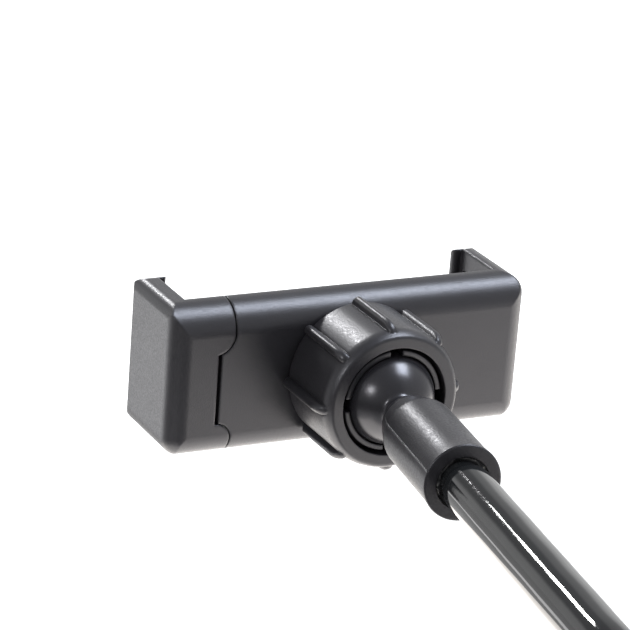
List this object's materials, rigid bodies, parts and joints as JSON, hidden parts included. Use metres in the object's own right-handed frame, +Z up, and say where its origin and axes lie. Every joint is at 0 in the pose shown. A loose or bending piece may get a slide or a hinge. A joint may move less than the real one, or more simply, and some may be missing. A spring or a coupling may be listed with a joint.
{
  "type": "phone clamp with ball joint on a gooseneck arm",
  "caption": "Spring-loaded phone clamp with padded jaws, held by a ribbed lock nut and split collet on a ball stem at the end of a bent gooseneck arm.",
  "frame": {"origin": "centre of the arm's stub at its lower end", "axes": "+Z up along the arm's upright run, -Y from the clamp towards the phone, +X towards the moving jaw"},
  "size_m": [0.0703, 0.1705, 0.1418],
  "materials": {
    "clamp_plastic": "fine spark-eroded texture, satin",
    "cover_plastic": "fine texture, satin",
    "nut_plastic": "fine texture, satin",
    "stem_plastic": "fine texture, satin",
    "arm_gloss": "glossy",
    "dark_glue": "glossy, set in drops",
    "pad_rubber": "matt",
    "screw_steel": "black oxide",
    "spring_steel": "bright drawn wire",
    "core_steel": "turned"
  },
  "bodies": {
    "arm": {"gooseneck_core": "core_steel", "gooseneck_sleeve": "arm_gloss", "stem_adhesive": "dark_glue", "ball_stem": "stem_plastic"},
    "nut": {"lock_nut": "nut_plastic"},
    "clamp": {"rear_housing": "clamp_plastic", "front_cover": "cover_plastic", "cover_screws": "screw_steel", "front_pad": "pad_rubber", "fixed_jaw_pad": "pad_rubber", "spring_upper": "spring_steel", "spring_lower": "spring_steel"},
    "jaw": {"moving_jaw": "clamp_plastic", "moving_jaw_pad": "pad_rubber"}
  },
  "joints": [
    {"name": "ball_tilt", "type": "hinge", "parent": "arm", "child": "nut", "pos_m": [-0.02176, -0.13359, 0.12748], "axis": [1, 0, 0], "range_deg": [-36, 36]},
    {"name": "holder_swivel", "type": "hinge", "parent": "nut", "child": "clamp", "pos_m": [-0.02176, -0.13359, 0.12748], "axis": [0, 1, 0], "continuous": true},
    {"name": "jaw_slide", "type": "slide", "parent": "clamp", "child": "jaw", "axis": [1, 0, 0], "range_m": [0, 0.025], "stiffness_N_per_m": 250, "springref_m": -0.02, "deforming": ["spring_upper", "spring_lower"]}
  ]
}
